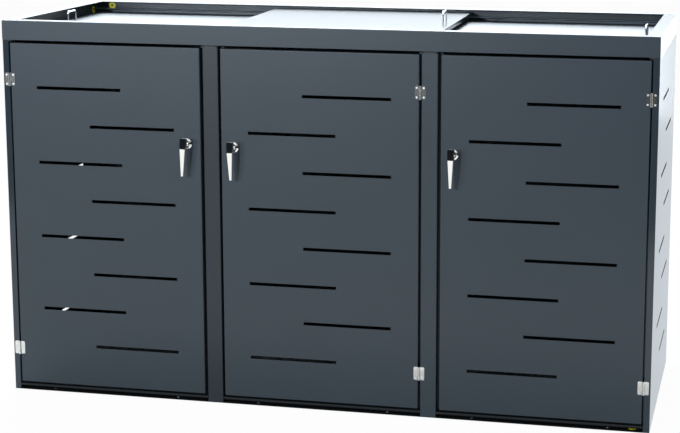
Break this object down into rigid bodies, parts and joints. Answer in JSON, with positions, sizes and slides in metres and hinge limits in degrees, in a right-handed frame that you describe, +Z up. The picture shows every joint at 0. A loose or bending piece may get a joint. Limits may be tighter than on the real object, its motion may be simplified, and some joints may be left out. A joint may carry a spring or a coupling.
{
  "type": "wheelie bin store",
  "caption": "Free-standing steel bin store with three slotted doors on hinges, turning lever latches and sliding roof lids in a raised rim.",
  "frame": {"origin": "on the ground below the middle of the whole store", "axes": "+X to the right seen from the front, -Y the front with the doors, +Z up"},
  "size_m": [2.07, 0.826, 1.237],
  "materials": {
    "powder_coat": "anthracite powder coat, semi-gloss",
    "zinc_steel": "bright zinc plate",
    "bright_chrome": "polished chrome plate",
    "glide_plastic": "moulded"
  },
  "bodies": {
    "root": {"side_wall_left": "powder_coat", "side_wall_right": "powder_coat", "mullion_left": "powder_coat", "mullion_right": "powder_coat", "rear_post_left": "powder_coat", "rear_post_right": "powder_coat", "rear_wall_left": "powder_coat", "rear_wall_centre": "powder_coat", "rear_wall_right": "powder_coat", "base_rail_rear": "powder_coat", "sill_left": "powder_coat", "sill_centre": "powder_coat", "sill_right": "powder_coat", "rim_front": "powder_coat", "rim_rear": "powder_coat", "rim_left": "powder_coat", "rim_right": "powder_coat", "roof_track_front": "powder_coat", "roof_track_rear": "powder_coat", "frame_brackets": "powder_coat", "frame_bolts": "zinc_steel", "hinge_leaves": "zinc_steel", "hinge_pins": "zinc_steel", "hinge_screws": "zinc_steel"},
    "door_left_body": {"door_left": "powder_coat", "door_leaves_left": "zinc_steel", "door_screws_left": "zinc_steel", "latch_rose_left": "bright_chrome", "latch_nut_left": "zinc_steel"},
    "latch_left_body": {"lever_left": "bright_chrome", "cam_left": "zinc_steel", "cam_screw_left": "zinc_steel"},
    "roof_left_body": {"lid_left": "powder_coat", "glides_left": "glide_plastic", "grip_left": "bright_chrome", "grip_nuts_left": "zinc_steel"},
    "door_centre_body": {"door_centre": "powder_coat", "door_leaves_centre": "zinc_steel", "door_screws_centre": "zinc_steel", "latch_rose_centre": "bright_chrome", "latch_nut_centre": "zinc_steel"},
    "latch_centre_body": {"lever_centre": "bright_chrome", "cam_centre": "zinc_steel", "cam_screw_centre": "zinc_steel"},
    "roof_centre_body": {"lid_centre": "powder_coat", "glides_centre": "glide_plastic", "grip_centre": "bright_chrome", "grip_nuts_centre": "zinc_steel"},
    "door_right_body": {"door_right": "powder_coat", "door_leaves_right": "zinc_steel", "door_screws_right": "zinc_steel", "latch_rose_right": "bright_chrome", "latch_nut_right": "zinc_steel"},
    "latch_right_body": {"lever_right": "bright_chrome", "cam_right": "zinc_steel", "cam_screw_right": "zinc_steel"},
    "roof_right_body": {"lid_right": "powder_coat", "glides_right": "glide_plastic", "grip_right": "bright_chrome", "grip_nuts_right": "zinc_steel"}
  },
  "joints": [
    {"name": "door_left", "type": "hinge", "parent": "root", "child": "door_left_body", "pos_m": [-1.01275, -0.3703, 0.582], "axis": [0, 0, -1], "range_deg": [0, 180]},
    {"name": "latch_left", "type": "hinge", "parent": "door_left_body", "child": "latch_left_body", "pos_m": [-0.42617, -0.397, 0.838], "axis": [0, 1, 0], "range_deg": [0, 90]},
    {"name": "door_centre", "type": "hinge", "parent": "root", "child": "door_centre_body", "pos_m": [0.31792, -0.3703, 0.582], "axis": [0, 0, 1], "range_deg": [0, 135]},
    {"name": "latch_centre", "type": "hinge", "parent": "door_centre_body", "child": "latch_centre_body", "pos_m": [-0.27417, -0.397, 0.832], "axis": [0, -1, 0], "range_deg": [0, 90]},
    {"name": "door_right", "type": "hinge", "parent": "root", "child": "door_right_body", "pos_m": [1.01275, -0.3703, 0.582], "axis": [0, 0, 1], "range_deg": [0, 180]},
    {"name": "latch_right", "type": "hinge", "parent": "door_right_body", "child": "latch_right_body", "pos_m": [0.42017, -0.397, 0.8365], "axis": [0, -1, 0], "range_deg": [0, 90]},
    {"name": "roof_left", "type": "slide", "parent": "root", "child": "roof_left_body", "axis": [1, 0, 0], "range_m": [0, 0.6]},
    {"name": "roof_centre", "type": "slide", "parent": "root", "child": "roof_centre_body", "axis": [1, 0, 0], "range_m": [-0.6, 0.575]},
    {"name": "roof_right", "type": "slide", "parent": "root", "child": "roof_right_body", "axis": [1, 0, 0], "range_m": [-0.6, 0]}
  ]
}
